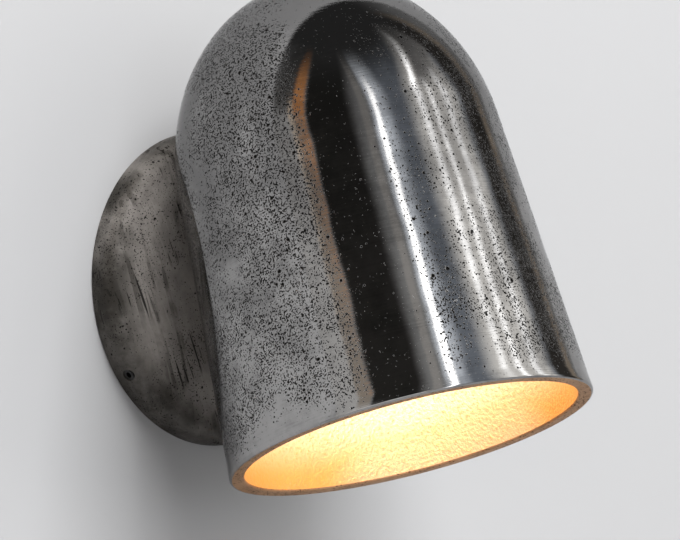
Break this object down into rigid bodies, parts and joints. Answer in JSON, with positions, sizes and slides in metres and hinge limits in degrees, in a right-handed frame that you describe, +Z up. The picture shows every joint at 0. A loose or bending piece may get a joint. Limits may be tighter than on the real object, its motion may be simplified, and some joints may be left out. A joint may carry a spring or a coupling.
{
  "type": "wall downlight",
  "caption": "Cast aluminium wall downlight: a thick bullet-shaped shade, open at the bottom, tilts on a round wall plate and hides a small screw lamp.",
  "frame": {"origin": "centre of the wall plate's back, on the wall's surface, midway between the wall screw slots", "axes": "+Y goes into the wall, -Y is the room, +Z is up, X is along the wall and along the tilt axis"},
  "size_m": [0.1198, 0.1478, 0.1675],
  "materials": {
    "cast_aluminium": "sand-cast, polished by hand, with pits",
    "plated_steel": "zinc plated",
    "dark_steel": "blackened",
    "brass": "plain",
    "rubber": "matte",
    "white_plastic": "matte",
    "black_plastic": "moulded",
    "lead_sheath": "insulation",
    "opal_glass": "opal, lit",
    "lamp_cap": "nickel plated"
  },
  "bodies": {
    "plate": {"wall_bracket": "plated_steel", "cable_grommet": "rubber", "earth_screw": "brass", "earth_washer": "brass", "wall_plate": "cast_aluminium", "plate_bush": "rubber", "grub_screws": "dark_steel", "hinge_bracket": "plated_steel", "hinge_screws": "plated_steel", "hinge_pin": "plated_steel", "pin_nut": "plated_steel", "friction_washers": "plated_steel"},
    "head": {"tilt_arm": "plated_steel", "shade": "cast_aluminium", "arm_washer": "plated_steel", "arm_nut": "plated_steel", "lead_bush": "rubber", "holder_bracket": "plated_steel", "holder_nipple": "brass", "holder_nut": "plated_steel", "lampholder_body": "black_plastic", "lampholder_shell": "brass", "lampholder_contact": "brass", "terminal_block": "white_plastic", "terminal_screws": "brass", "holder_leads": "lead_sheath"},
    "lamp": {"lamp_globe": "opal_glass", "lamp_collar": "white_plastic", "lamp_cap": "lamp_cap", "lamp_insulator": "black_plastic", "lamp_tip": "brass"}
  },
  "joints": [
    {"name": "head_tilt", "type": "hinge", "parent": "plate", "child": "head", "pos_m": [0, -0.005, 0], "axis": [1, 0, 0], "range_deg": [0, 18]},
    {"name": "lamp_turn", "type": "hinge", "parent": "head", "child": "lamp", "pos_m": [0, -0.06686, 0.02839], "axis": [0, 0.2723, 0.9622], "range_deg": [0, 1080]}
  ]
}
